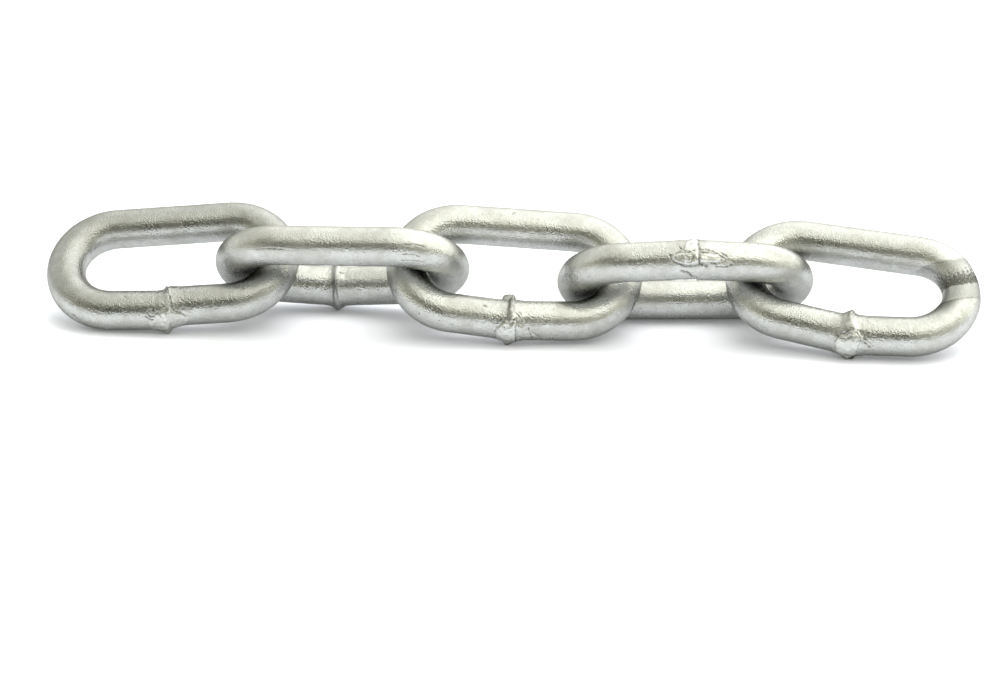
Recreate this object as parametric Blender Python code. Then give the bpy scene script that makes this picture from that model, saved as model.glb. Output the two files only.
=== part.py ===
"""A short length of welded steel chain: five links in a row, drawn out straight on a floor.

Each link is one round bar bent to a long oval and butt welded in the middle of one leg.
The weld leg is not quite straight: its two halves run outwards to the weld, and the weld
itself stands proud as a low collar. Neighbouring links lean to opposite sides, so that each
crown hooks over the crown of the next.

Frame: metres, +Z up, X along the chain, the floor at Z = 0, and the origin under the middle
of the whole chain's box.
"""

import math
from collections import namedtuple

import bmesh
import bpy
from mathutils import Euler, Matrix, Vector

MM = 0.001

# The bar and the oval, as a chain maker gives them
BAR = 8.0 * MM                    # bar diameter, over the flats of the section
INSIDE_LENGTH = 4.5 * BAR         # the pitch: the clear length inside a link
INSIDE_WIDTH = 1.6 * BAR          # the clear width inside a link

# The shapes that follow from them
BEND_RADIUS = (INSIDE_WIDTH + BAR) / 2             # crown radius, at the middle of the bar
BEND_CENTRE = (INSIDE_LENGTH - INSIDE_WIDTH) / 2   # from the link's middle to a bend's centre
CROWN = BEND_CENTRE + BEND_RADIUS                  # from the link's middle to the crown bar

# The weld collar
COLLAR_REACH = 3.4 * MM           # half its length along the bar
COLLAR_RINGS = (0.62, 0.32, 0.12)  # where its rings lie, as shares of that reach
COLLAR_FLANK = 0.35               # its height on the flanks, as a share of its proudest side
COLLAR_INSIDE = 0.75              # its height towards the inside of the link, likewise

# How finely the bar is cut
SECTION_SIDES = 22
BEND_STEPS = 7                    # from a leg to the flat at the crown's middle
CROWN_FLAT = math.radians(12)     # the arc that the flat segment at the crown's middle takes

# A leg comes down on one of the bar's flats when the link leans by this much
SECTION_STEP = 2 * math.pi / SECTION_SIDES
FLAT_LEAN = math.degrees(math.pi / 2 - 3 * SECTION_STEP)

# How each link lies: where its middle is, in millimetres along, across and above the floor,
# then its turn about the vertical, its dip towards +X and its lean, which is positive where
# the far leg is the raised one, all in degrees. weld_side is -1 for the near leg and +1 for
# the far one, kink is how far each half of that leg runs outwards, and proud is how far the
# collar stands off the bar, in millimetres.
Lie = namedtuple("Lie", "name middle turn dip lean weld_side kink proud")
LINKS = (
    Lie("link_1", (-66.9, 13.56, 10.9), -2.8, -5.0, 33.5, -1, 2.2, 0.7),
    Lie("link_2", (-32.17, 9.1, 12.62), -6.4, -1.4, -FLAT_LEAN, 1, 6.7, 1.1),
    Lie("link_3", (2.84, 6.05, 12.1), -1.6, 3.6, FLAT_LEAN, -1, 3.7, 1.0),
    Lie("link_4", (37.52, 4.25, 10.87), 0.5, 0.0, -FLAT_LEAN, -1, 7.1, 0.6),
    Lie("link_5", (71.35, -0.2, 10.9), -12.3, 4.0, 32.3, -1, 6.8, 0.85),
)

STEEL_COLOUR = (0.60, 0.61, 0.60, 1.0)
STEEL_ROUGHNESS = 0.38


def clear_scene():
    """Start from an empty scene, also when run from the text editor."""
    for item in list(bpy.data.objects):
        bpy.data.objects.remove(item, do_unlink=True)


def steel(name):
    """Dull galvanised steel, one material for each link."""
    material = bpy.data.materials.new(name + "_galvanised")
    material.use_nodes = True
    shader = material.node_tree.nodes["Principled BSDF"]
    shader.inputs["Base Color"].default_value = STEEL_COLOUR
    shader.inputs["Roughness"].default_value = STEEL_ROUGHNESS
    shader.inputs["Metallic"].default_value = 1.0
    return material


def half_outline(kink):
    """Stations along the right half of a link, in its own plane, from the middle of the plain
    leg (at +Y) round the crown to the middle of the weld leg (at -Y). Each station is a point,
    the outward direction there, and its distance along the bar from the weld."""
    flat = CROWN_FLAT / 2
    plain_step = (math.pi / 2 - flat) / BEND_STEPS
    weld_step = (math.pi / 2 - kink - flat) / BEND_STEPS
    angles = [math.pi / 2 - plain_step * i for i in range(BEND_STEPS + 1)]
    angles += [-flat - weld_step * i for i in range(BEND_STEPS + 1)]
    leg_end = angles[-1]
    leg_length = (BEND_CENTRE + BEND_RADIUS * math.cos(leg_end)) / math.cos(kink)

    stations = []
    for angle in angles:
        outward = Vector((math.cos(angle), math.sin(angle)))
        point = Vector((BEND_CENTRE, 0)) + outward * BEND_RADIUS
        stations.append((point, outward, leg_length))

    # The weld leg: straight from the end of the bend to the weld, with the collar's rings
    bend_end = stations[-1][0]
    along = Vector((-math.cos(kink), -math.sin(kink)))
    outward = Vector((math.sin(kink), -math.cos(kink)))
    for share in (1.0,) + COLLAR_RINGS:
        to_weld = share * COLLAR_REACH
        point = bend_end + along * (leg_length - to_weld)
        stations.append((point, outward, to_weld))
    weld_point = bend_end + along * leg_length
    stations.append((weld_point, Vector((0, -1)), 0.0))
    return stations


def closed_outline(kink):
    """All the stations once round the link: the right half, then its mirror image."""
    right = half_outline(kink)
    left = [(Vector((-p.x, p.y)), Vector((-o.x, o.y)), s) for p, o, s in reversed(right[:-1])]
    return right + left


def collar_height(to_weld, angle, proud):
    """How far the weld collar stands off the bar, at one point round its section. The angle
    is measured from the outward direction, in the plane across the bar."""
    if to_weld >= COLLAR_REACH:
        return 0.0
    rise = (1 - (to_weld / COLLAR_REACH) ** 2) ** 2
    facing = math.cos(angle)
    ends = facing ** 2 * (1.0 if facing > 0 else COLLAR_INSIDE)
    return proud * rise * (ends + COLLAR_FLANK * (1 - facing ** 2))


def link_mesh(lie):
    """One link, with its middle at the origin, its length along X and its plane flat in XY."""
    mesh = bpy.data.meshes.new(lie.name)
    shell = bmesh.new()
    corner_radius = BAR / 2 / math.cos(SECTION_STEP / 2)
    rings = []
    for point, outward, to_weld in closed_outline(math.radians(lie.kink)):
        ring = []
        for side in range(SECTION_SIDES):
            angle = (side + 0.5) * SECTION_STEP
            radius = corner_radius + collar_height(to_weld, angle, lie.proud * MM)
            flat = point + outward * radius * math.cos(angle)
            height = radius * math.sin(angle)
            ring.append(shell.verts.new((flat.x, -lie.weld_side * flat.y, height)))
        rings.append(ring)
    for ring, following in zip(rings, rings[1:] + rings[:1]):
        for side in range(SECTION_SIDES):
            beside = (side + 1) % SECTION_SIDES
            shell.faces.new((ring[side], following[side], following[beside], ring[beside]))
    bmesh.ops.recalc_face_normals(shell, faces=shell.faces)
    shell.to_mesh(mesh)
    shell.free()
    mesh.shade_smooth()
    mesh.set_sharp_from_angle(angle=math.radians(40))
    return mesh


def lie_matrix(lie):
    """The link's place on the floor, before the origin is moved under the chain's middle."""
    turn = Euler((math.radians(lie.lean), math.radians(lie.dip), math.radians(lie.turn)))
    return Matrix.Translation(Vector(lie.middle) * MM) @ turn.to_matrix().to_4x4()


def floor_origin(meshes):
    """The point on the floor under the middle of the box round all five links."""
    corners = [lie_matrix(lie) @ v.co for lie, mesh in zip(LINKS, meshes) for v in mesh.vertices]
    low = [min(corner[axis] for corner in corners) for axis in range(3)]
    high = [max(corner[axis] for corner in corners) for axis in range(3)]
    return Vector(((low[0] + high[0]) / 2, (low[1] + high[1]) / 2, low[2]))


def crown_crossing(before, link):
    """Where the plane of a link meets the crown bar of the link before it, which is where it
    hooks that bar. Both links are given by their places."""
    apex = before @ Vector((CROWN, 0, 0))
    normal = link.to_3x3().col[2]
    along_bar = before.to_3x3().col[1]
    off_middle = (link.translation - apex).dot(normal) / along_bar.dot(normal)
    dip = BEND_RADIUS - math.sqrt(BEND_RADIUS ** 2 - off_middle ** 2)
    return before @ Vector((CROWN - dip, off_middle, 0))


def build_chain():
    """Lay the links out. Each one after the first swings in its own plane round the crown bar
    that it hooks, on an empty whose Z axis is that swing's axis."""
    meshes = [link_mesh(lie) for lie in LINKS]
    to_origin = Matrix.Translation(-floor_origin(meshes))
    collection = bpy.context.scene.collection
    carrier = None
    carrier_place = None
    for lie, mesh in zip(LINKS, meshes):
        mesh.materials.append(steel(lie.name))
        link = bpy.data.objects.new(lie.name, mesh)
        collection.objects.link(link)
        place = to_origin @ lie_matrix(lie)
        if carrier is None:
            link.matrix_basis = place
        else:
            swing = bpy.data.objects.new(lie.name + "_swing", None)
            swing.empty_display_size = BAR
            collection.objects.link(swing)
            hook = crown_crossing(carrier_place, place)
            swing_place = Matrix.Translation(hook) @ place.to_3x3().to_4x4()
            swing.parent = carrier
            swing.matrix_basis = carrier_place.inverted() @ swing_place
            link.parent = swing
            link.matrix_basis = swing_place.inverted() @ place
        carrier = link
        carrier_place = place


clear_scene()
build_chain()
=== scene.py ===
# %% [markdown]
# # A short length of welded, galvanised chain
#
# Five long links of round bar lie in a row on a white floor. Each link was bent from one bar,
# butt welded in the middle of one leg, and dipped in zinc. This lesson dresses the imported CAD
# model: it gives the links their true round bar, their weld flash and their zinc skin, and
# sets up the photographer's table round them.
#
# The CAD model is loaded first and never moved. Everything that follows takes its place from it.

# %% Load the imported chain
import math
from functools import partial

import bpy
import numpy as np
from mathutils import Matrix, Vector
from mathutils.bvhtree import BVHTree


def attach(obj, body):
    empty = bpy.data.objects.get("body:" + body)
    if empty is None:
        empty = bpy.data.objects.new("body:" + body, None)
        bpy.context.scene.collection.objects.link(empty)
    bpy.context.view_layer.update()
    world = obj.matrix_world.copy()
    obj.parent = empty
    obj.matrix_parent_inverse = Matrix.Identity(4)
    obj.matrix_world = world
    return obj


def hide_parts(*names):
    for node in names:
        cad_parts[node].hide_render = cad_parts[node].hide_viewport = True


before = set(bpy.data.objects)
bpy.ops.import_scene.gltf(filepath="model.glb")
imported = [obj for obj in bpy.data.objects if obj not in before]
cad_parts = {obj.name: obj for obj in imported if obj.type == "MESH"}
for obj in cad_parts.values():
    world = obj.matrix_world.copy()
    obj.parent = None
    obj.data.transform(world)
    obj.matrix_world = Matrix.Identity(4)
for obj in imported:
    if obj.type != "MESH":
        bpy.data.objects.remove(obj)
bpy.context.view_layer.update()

MM = 0.001

# %% [markdown]
# ## The camera
#
# The photograph was taken a little above the chain, square to it, with a long lens, so that
# the far legs look hardly smaller than the near ones. A camera placed by its distance, its
# height angle and the scale wanted in the picture is easier to check than one dragged by hand:
# the lens follows from those three.

# %% Set the camera
CAMERA_DISTANCE = 1.2  # metres, from the chain's middle
CAMERA_ELEVATION = math.radians(20)
PICTURE_WIDTH = 1000  # picture points across the frame
POINTS_PER_METRE = 4930  # picture points for one metre of chain, at its middle
SENSOR_WIDTH = 36.0  # millimetres
# The point in the middle of the picture
AIM = Vector((-0.00218, -0.00575, -0.00023))


def new_object(name, data):
    """A new object in the scene."""
    made = bpy.data.objects.new(name, data)
    bpy.context.scene.collection.objects.link(made)
    return made


camera_data = bpy.data.cameras.new("camera")
camera_data.sensor_width = SENSOR_WIDTH
camera_data.lens = SENSOR_WIDTH * POINTS_PER_METRE * CAMERA_DISTANCE / PICTURE_WIDTH
camera_data.clip_start, camera_data.clip_end = 0.05, 20.0
camera = new_object("camera", camera_data)
towards_camera = Vector((0, -math.cos(CAMERA_ELEVATION), math.sin(CAMERA_ELEVATION)))
camera.location = AIM + towards_camera * CAMERA_DISTANCE
camera.rotation_euler = (-towards_camera).to_track_quat("-Z", "Y").to_euler()
bpy.context.scene.camera = camera
print("lens, mm:", round(camera_data.lens, 1))

# %% [markdown]
# ## Where each link lies
#
# A CAD node's place is baked into its vertices, so a link's own axes have to be measured from
# its shape. A link is the same left and right of its middle and above and below its plane,
# which makes the main directions of its spread of points exactly its length and its normal.
# The weld leg is the one that stands further out.
#
# Here every link's own frame has X along the link, Z square to its plane, and the weld
# at -Y, whichever leg carries it.

# %% Measure the links
BAR = 8.0 * MM
INSIDE_LENGTH = 36.0 * MM
INSIDE_WIDTH = 12.8 * MM
BEND_RADIUS = (INSIDE_WIDTH + BAR) / 2
CROWN_SLICE = 0.5 * MM  # the end slice of a link that shows where its long axis runs


def measure_link(node):
    """The link's place as a matrix, from its CAD node's own points."""
    points = np.unique(np.round([v.co[:] for v in node.data.vertices], 8), axis=0)
    middle = points.mean(axis=0)
    directions = np.linalg.eigh(np.cov((points - middle).T))[1]
    along = directions[:, 2]
    normal = directions[:, 0]
    normal = normal if normal[2] > 0 else -normal
    along = along if along[0] > 0 else -along
    across = np.cross(normal, along)
    local = (points - middle) @ np.column_stack((along, across, normal))
    crown = local[:, 0] > local[:, 0].max() - CROWN_SLICE
    line = local[crown, 1].mean()
    if local[:, 1].max() - line > line - local[:, 1].min():  # the weld is on the far leg
        along, across = -along, -across
        local[:, :2] *= -1
    centre = middle + along * (local[:, 0].max() + local[:, 0].min()) / 2
    centre = centre + across * (local[:, 1].max() - (BEND_RADIUS + BAR / 2))
    place = Matrix(np.column_stack((along, across, normal)).tolist()).to_4x4()
    place.translation = Vector(centre)
    return place


LINK_NAMES = sorted(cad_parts)
places = {name: measure_link(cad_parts[name]) for name in LINK_NAMES}
for name in LINK_NAMES:
    lean = math.degrees(math.acos(places[name].col[2][2]))
    print(name, "leans", round(lean, 1), "degrees, middle at, mm:",
          [round(v / MM, 2) for v in places[name].translation])

# %% [markdown]
# ## Tools for building node trees
#
# Geometry trees and material trees are both wired here by a few small functions, so that each
# line below reads like the sum it stands for.

# %% Node helpers


def feed(tree, socket, value):
    """Join a socket to an output, or give it a plain value."""
    if isinstance(value, bpy.types.NodeSocket):
        tree.links.new(value, socket)
    else:
        socket.default_value = value


def feed_row(tree, sockets, values):
    """Feed a row of sockets, the first value to the first socket."""
    for socket, value in zip(sockets, values):
        feed(tree, socket, value)


def add(tree, kind, inputs=None, **settings):
    """A new node with its settings, and with what goes into its named inputs."""
    made = tree.nodes.new(kind)
    for name, value in settings.items():
        setattr(made, name, value)
    for name, value in (inputs or {}).items():
        feed(tree, made.inputs[name], value)
    return made


def maths(tree, operation, *values):
    """What a Math node makes of plain values or other nodes' outputs."""
    made = add(tree, "ShaderNodeMath", operation=operation)
    feed_row(tree, made.inputs, values)
    return made.outputs[0]


def sums(tree):
    """Adding, subtracting and multiplying in one tree."""
    return [partial(maths, tree, operation) for operation in ("ADD", "SUBTRACT", "MULTIPLY")]


def vectors(tree, operation, *values):
    """The same for vectors. A dot product comes out as a plain value."""
    made = add(tree, "ShaderNodeVectorMath", operation=operation)
    sockets = [made.inputs[0], made.inputs["Scale"]] if operation == "SCALE" else made.inputs
    feed_row(tree, sockets, values)
    return made.outputs["Value" if operation == "DOT_PRODUCT" else "Vector"]


def combine(tree, *values):
    made = add(tree, "ShaderNodeCombineXYZ")
    feed_row(tree, made.inputs, values)
    return made.outputs[0]


SOCKET_KINDS = {float: "Float", int: "Int", tuple: "Color", type(None): "Material"}


def add_sockets(tree, inputs, outputs):
    """Named inputs, each of its value's kind, and outputs. Returns what the inputs give."""
    for name, value in inputs.items():
        kind = "NodeSocket" + SOCKET_KINDS[type(value)]
        socket = tree.interface.new_socket(name, in_out="INPUT", socket_type=kind)
        if value is not None:
            socket.default_value = value
    for name, kind in outputs.items():
        tree.interface.new_socket(name, in_out="OUTPUT", socket_type="NodeSocket" + kind)
    return {s.name: s for s in add(tree, "NodeGroupInput").outputs if s.name}


# %% [markdown]
# ## The chain link as a Geometry Nodes tree
#
# All five links follow one rule: a bar swept along a long oval, with the two halves of the
# weld leg running slightly outwards to the weld, and a low swelling there where the hot ends
# were pressed together. Five sculpted meshes could show it too, but a rule with named sizes
# makes every link true to its CAD solid, and a better picture of one is a better picture
# of all.
#
# The oval starts and ends at the weld. Its rings are closest together there, where the flash
# needs fine detail, and four times further apart on the plain leg.

# %% Build the link tree
PATH_POINTS = 240  # points on the rough oval
RING_BUNCHING = 0.62  # how strongly the rings gather at the weld, from 0 to 1
CORNER_SAMPLES = (-2, -1, 0, 1, 2)  # their mean rounds the corner at the weld
CORNER_STEP = 0.35 * MM  # the distance between them
COLLAR_FLANK = 0.35  # the swelling's height on the flanks, as a share of the outside
COLLAR_INSIDE = 0.75  # and on the inside of the link

LINK_INPUTS = {
    "Bar Diameter": BAR,
    "Inside Length": INSIDE_LENGTH,
    "Inside Width": INSIDE_WIDTH,
    "Kink": 0.0,
    "Weld Offset": 0.0,
    "Swelling Height": 0.0005,
    "Swelling Reach": 0.0034,
    "Lump Depth": 0.00008,
    "Lump Scale": 260.0,
    "Rings": 500,
    "Sides": 192,
    "Seed": 1.0,
    "Material": None,
}


def oval_point(tree, size):
    """The rough oval's points, counted from the weld, once round the link."""
    plus, minus, times = sums(tree)
    kink, radius, centre = size["Kink"], size["radius"], size["centre"]
    index = add(tree, "GeometryNodeInputIndex").outputs[0]
    share = maths(tree, "DIVIDE", index, float(PATH_POINTS))
    from_weld = times(maths(tree, "MINIMUM", share, minus(1.0, share)), 2.0)
    side = maths(tree, "SIGN", minus(0.5, share))
    bend_angle = times(from_weld, minus(math.pi, kink))
    angle = plus(minus(kink, math.pi / 2), bend_angle)
    reach = times(radius, maths(tree, "COSINE", angle))
    x = times(side, plus(centre, reach))
    y = times(radius, maths(tree, "SINE", angle))

    # The weld itself: where the two halves of the leg, run outwards, meet
    leg = times(radius, maths(tree, "SINE", kink))
    leg = plus(centre, leg)
    rise = times(leg, maths(tree, "TANGENT", kink))
    base = times(radius, maths(tree, "COSINE", kink))
    weld_y = times(plus(base, rise), -1.0)
    is_weld = add(tree, "FunctionNodeCompare", data_type="INT", operation="EQUAL")
    feed_row(tree, [s for s in is_weld.inputs if s.type == "INT"], (index, 0))
    return add(tree, "GeometryNodeSwitch", {
        "Switch": is_weld.outputs[0],
        "False": combine(tree, x, y, 0.0),
        "True": combine(tree, size["Weld Offset"], weld_y, 0.0),
    }, input_type="VECTOR").outputs[0]


def curve_circle(tree, points, radius):
    return add(tree, "GeometryNodeCurvePrimitiveCircle",
               {"Resolution": points, "Radius": radius}, mode="RADIUS").outputs["Curve"]


def move_points(tree, geometry, position):
    """The geometry with its points at their new places."""
    return add(tree, "GeometryNodeSetPosition",
               {"Geometry": geometry, "Position": position}).outputs["Geometry"]


def build_link_tree():
    """The tree: a rough oval, a fine one along it, a bar swept along that, and its skin."""
    tree = bpy.data.node_groups.new("chain_link", "GeometryNodeTree")
    plus, minus, times = sums(tree)
    size = add_sockets(tree, LINK_INPUTS, {"Geometry": "Geometry"})
    width_over = plus(size["Inside Width"], size["Bar Diameter"])
    size["radius"] = times(width_over, 0.5)
    straight = minus(size["Inside Length"], size["Inside Width"])
    size["centre"] = times(straight, 0.5)

    rough = move_points(tree, curve_circle(tree, PATH_POINTS, 1.0), oval_point(tree, size))

    # The fine oval: the same line, with its points gathered at the weld
    index = add(tree, "GeometryNodeInputIndex").outputs[0]
    share = maths(tree, "DIVIDE", index, size["Rings"])
    wave = maths(tree, "SINE", times(share, 2 * math.pi))
    factor = minus(share, times(wave, RING_BUNCHING / (2 * math.pi)))
    length = add(tree, "GeometryNodeCurveLength", {"Curve": rough}).outputs[0]
    place, heading = (0.0, 0.0, 0.0), (0.0, 0.0, 0.0)
    for step in CORNER_SAMPLES:
        there = plus(factor, maths(tree, "DIVIDE", step * CORNER_STEP, length))
        there = maths(tree, "WRAP", there, 1.0, 0.0)
        sample = add(tree, "GeometryNodeSampleCurve", {"Curves": rough, "Factor": there},
                     mode="FACTOR")
        part = vectors(tree, "SCALE", sample.outputs["Position"], 1 / len(CORNER_SAMPLES))
        place = vectors(tree, "ADD", place, part)
        heading = vectors(tree, "ADD", heading, sample.outputs["Tangent"])
    heading = vectors(tree, "NORMALIZE", heading)
    fine = move_points(tree, curve_circle(tree, size["Rings"], 1.0), place)

    # What the swept mesh has to know about its line
    position = add(tree, "GeometryNodeInputPosition").outputs[0]
    past_half = maths(tree, "GREATER_THAN", factor, 0.5)
    from_weld = times(minus(factor, past_half), length)
    keep = add(tree, "GeometryNodeCaptureAttribute", {"Geometry": fine}, domain="POINT")
    for kind, name, value in (("VECTOR", "Line", position), ("VECTOR", "Heading", heading),
                              ("FLOAT", "From Weld", from_weld)):
        keep.capture_items.new(kind, name)
        feed(tree, keep.inputs[name], value)
    line, from_weld = keep.outputs["Line"], keep.outputs["From Weld"]
    steady = add(tree, "GeometryNodeSetCurveNormal", {"Curve": keep.outputs["Geometry"]},
                 mode="Z_UP")
    bar_radius = times(size["Bar Diameter"], 0.5)
    sweep = add(tree, "GeometryNodeCurveToMesh", {
        "Curve": steady.outputs["Curve"],
        "Profile Curve": curve_circle(tree, size["Sides"], bar_radius)})

    # The skin: the bar, with the swelling at the weld and the uneven zinc
    radial = vectors(tree, "NORMALIZE", vectors(tree, "SUBTRACT", position, line))
    outward = vectors(tree, "CROSS_PRODUCT", keep.outputs["Heading"], (0.0, 0.0, 1.0))
    facing = vectors(tree, "DOT_PRODUCT", radial, vectors(tree, "NORMALIZE", outward))
    height = add(tree, "ShaderNodeSeparateXYZ", {"Vector": radial}).outputs["Z"]
    round_angle = maths(tree, "ARCTAN2", height, facing)

    gone = maths(tree, "DIVIDE", maths(tree, "ABSOLUTE", from_weld), size["Swelling Reach"])
    gone = maths(tree, "POWER", maths(tree, "MINIMUM", gone, 1.0), 2.0)
    bell = maths(tree, "POWER", minus(1.0, gone), 2.0)
    square = times(facing, facing)
    inside = maths(tree, "LESS_THAN", facing, 0.0)
    ends = minus(1.0, times(inside, 1.0 - COLLAR_INSIDE))
    ends = times(ends, square)
    flank = times(minus(1.0, square), COLLAR_FLANK)
    swelling = times(plus(ends, flank), bell)
    swelling = times(swelling, size["Swelling Height"])

    lumps = add(tree, "ShaderNodeTexNoise", {
        "Vector": position, "W": size["Seed"], "Scale": size["Lump Scale"],
        "Detail": 3.0, "Roughness": 0.55}, noise_dimensions="4D")
    uneven = times(minus(lumps.outputs[0], 0.5), size["Lump Depth"])
    radius = minus(plus(bar_radius, swelling), uneven)
    skin = vectors(tree, "ADD", line, vectors(tree, "SCALE", radial, radius))
    shell = move_points(tree, sweep.outputs["Mesh"], skin)

    for kind, name, value in (("FLOAT", "from_weld", from_weld),
                              ("FLOAT", "round_angle", round_angle),
                              ("FLOAT_VECTOR", "bar_line", line)):
        stored = {"Geometry": shell, "Name": name, "Value": value}
        shell = add(tree, "GeometryNodeStoreNamedAttribute", stored,
                    data_type=kind, domain="POINT").outputs["Geometry"]
    smooth = add(tree, "GeometryNodeSetShadeSmooth", {"Geometry": shell})
    real = add(tree, "GeometryNodeRealizeInstances", {"Geometry": smooth.outputs["Geometry"]})
    paint = add(tree, "GeometryNodeSetMaterial", {
        "Geometry": real.outputs["Geometry"], "Material": size["Material"]})
    add(tree, "NodeGroupOutput", {"Geometry": paint.outputs["Geometry"]})
    return tree


link_tree = build_link_tree()
print("link tree:", len(link_tree.nodes), "nodes")

# %% [markdown]
# ## Zinc
#
# Hot-dip zinc is a metal skin, so the Principled shader is fully metallic and its colour is
# the metal's own tint. What makes it look like zinc and not chrome is its grain: fine hills
# that scatter each reflection, cloudy patches that are duller and darker, and small dark
# specks where dross stuck. These effects are one group, placed in each material with its own
# values, and it only puts out colour, roughness and a height.

# %% Zinc skin group
SKIN_INPUTS = {
    "Colour": (0.545, 0.555, 0.54, 1.0),
    "Cloud Colour": (0.435, 0.435, 0.405, 1.0),
    "Speck Colour": (0.20, 0.20, 0.19, 1.0),
    "Grain Scale": 3300.0,
    "Cloud Scale": 170.0,
    "Cloud Amount": 0.6,
    "Mottle Amount": 0.24,
    "Smooth Roughness": 0.27,
    "Cloud Roughness": 0.40,
}

# The other patterns' fineness, as shares of the grain's, and the patches' of the clouds'
HILL_SCALE, MOTTLE_SCALE, SPECK_SCALE, PATCH_SCALE = 0.38, 0.83, 0.47, 3.7
# The noise values where each pattern begins and where it is full
CLOUD_EDGES, SPECK_EDGES = (0.42, 0.66), (0.70, 0.77)
MOTTLE_EDGES, PATCH_EDGES = (0.32, 0.68), (0.35, 0.65)
PATCH_SHARE = 0.5  # how strong the patches are beside the mottle
GRAIN_SHARE, HILL_SHARE, SPECK_DEPTH = 0.92, 0.20, 0.3  # what each gives to the height
SPECK_ROUGHNESS = 0.2


def noise(tree, vector, scale, detail, roughness=0.5):
    """A cloud of soft random values between 0 and 1."""
    return add(tree, "ShaderNodeTexNoise", {
        "Vector": vector, "Scale": scale, "Detail": detail, "Roughness": roughness}).outputs[0]


def steps(tree, value, low, high, out_low=0.0, out_high=1.0):
    """Map a value from one range to another, smoothly, and hold it at the ends."""
    made = add(tree, "ShaderNodeMapRange", interpolation_type="SMOOTHSTEP")
    feed_row(tree, made.inputs, (value, low, high, out_low, out_high))
    return made.outputs[0]


def mix_colour(tree, factor, first, second):
    """The first colour where the factor is 0, and the second where it is 1."""
    made = add(tree, "ShaderNodeMix", data_type="RGBA")
    colours = [s for s in made.inputs if s.type == "RGBA"]
    feed_row(tree, [made.inputs[0]] + colours, (factor, first, second))
    return [s for s in made.outputs if s.type == "RGBA"][0]


def build_skin_group():
    """The group that gives each place on the zinc its colour, roughness and height."""
    tree = bpy.data.node_groups.new("zinc_skin", "ShaderNodeTree")
    plus, minus, times = sums(tree)
    given = add_sockets(tree, SKIN_INPUTS,
                        {"Colour": "Color", "Roughness": "Float", "Height": "Float"})
    where = add(tree, "ShaderNodeTexCoord").outputs["Object"]
    fine, broad, amount = given["Grain Scale"], given["Cloud Scale"], given["Mottle Amount"]
    clouds = steps(tree, noise(tree, where, broad, 5.0, 0.6), *CLOUD_EDGES)
    clouds = times(clouds, given["Cloud Amount"])
    patches = noise(tree, where, times(broad, PATCH_SCALE), 2.0)
    grain = noise(tree, where, fine, 0.5)
    hills = noise(tree, where, times(fine, HILL_SCALE), 2.0)
    mottle = noise(tree, where, times(fine, MOTTLE_SCALE), 3.0, 0.7)
    specks = noise(tree, where, times(fine, SPECK_SCALE), 2.0, 0.6)
    specks = steps(tree, specks, *SPECK_EDGES)

    colour = mix_colour(tree, clouds, given["Colour"], given["Cloud Colour"])
    mottle = steps(tree, mottle, *MOTTLE_EDGES, 0.0, amount)
    patches = steps(tree, patches, *PATCH_EDGES, 0.0, times(amount, PATCH_SHARE))
    for share in (plus(mottle, patches), specks):
        colour = mix_colour(tree, share, colour, given["Speck Colour"])

    spread = minus(given["Cloud Roughness"], given["Smooth Roughness"])
    rough = plus(given["Smooth Roughness"], times(spread, clouds))
    rough = plus(rough, times(specks, SPECK_ROUGHNESS))
    height = plus(times(grain, GRAIN_SHARE), times(hills, HILL_SHARE))
    height = minus(height, times(specks, SPECK_DEPTH))
    add(tree, "NodeGroupOutput", {"Colour": colour, "Roughness": rough, "Height": height})
    return tree


skin_group = build_skin_group()
print("zinc skin:", len(skin_group.nodes), "nodes")

# %% [markdown]
# ### Galvanised steel
#
# The zinc skin is changed by four masks that each point of a mesh carries: flash is
# bare metal squeezed out at a weld together with painted highlights, grime is dirt
# together with painted shade, bloom is painted shade on the upward faces of link 1, and
# touch is painted shade between two links. On points this close, masks are as sharp as
# painted textures.

# %% Galvanised steel
FLASH_GAIN = 0.40  # how much brighter bare weld metal and painted highlights are
BLOOM_LOSS = 0.60  # how much the painted shade on upward faces darkens the zinc
FLASH_ROUGHNESS, GRIME_ROUGHNESS = 0.06, 0.15  # how much rougher the zinc is where each of these two masks is full
# the colour of dirt and of painted shade
GRIME_COLOUR = (0.10, 0.10, 0.088, 1.0)
EDGE_TINT = (0.52, 0.52, 0.50, 1.0)  # keeps the skin dull at low angles
GRAIN_HEIGHT = 0.000088  # metres, the grain's full height


def galvanised(name):
    """The zinc skin as a metal, with the four masks."""
    material = bpy.data.materials.new(name)
    material.use_nodes = True
    tree = material.node_tree
    plus, minus, times = sums(tree)
    skin = add(tree, "ShaderNodeGroup", node_tree=skin_group).outputs
    flash, grime, bloom, dark = (
        add(tree, "ShaderNodeAttribute", attribute_name=mask).outputs["Fac"]
        for mask in ("flash", "grime", "bloom", "touch"))
    shade = plus(1.0, times(flash, FLASH_GAIN))
    shade = minus(shade, times(bloom, BLOOM_LOSS))
    colour = vectors(tree, "SCALE", skin["Colour"], shade)
    colour = mix_colour(tree, grime, colour, GRIME_COLOUR)
    # painted shade where the links touch darkens the colour
    colour = vectors(tree, "SCALE", colour, minus(1.0, dark))
    rough = plus(skin["Roughness"], times(flash, FLASH_ROUGHNESS))
    rough = plus(rough, times(grime, GRIME_ROUGHNESS))
    bump = add(tree, "ShaderNodeBump", {
        "Strength": 1.0, "Distance": GRAIN_HEIGHT, "Height": skin["Height"]})
    shader = tree.nodes["Principled BSDF"].inputs
    shader["Metallic"].default_value = 1.0
    shader["Specular Tint"].default_value = EDGE_TINT
    feed(tree, shader["Base Color"], colour)
    feed(tree, shader["Roughness"], rough)
    feed(tree, shader["Normal"], bump.outputs["Normal"])
    return material


zinc = galvanised("galvanised_zinc")
print(zinc.name, "has", len(zinc.node_tree.nodes), "nodes")

# %% [markdown]
# ## Making the five links
#
# Each link takes its place from its CAD node, and its kink, swelling and weld place from a
# small table read off the photograph. The tree runs once for each, and its result is kept as
# a plain mesh.

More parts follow.
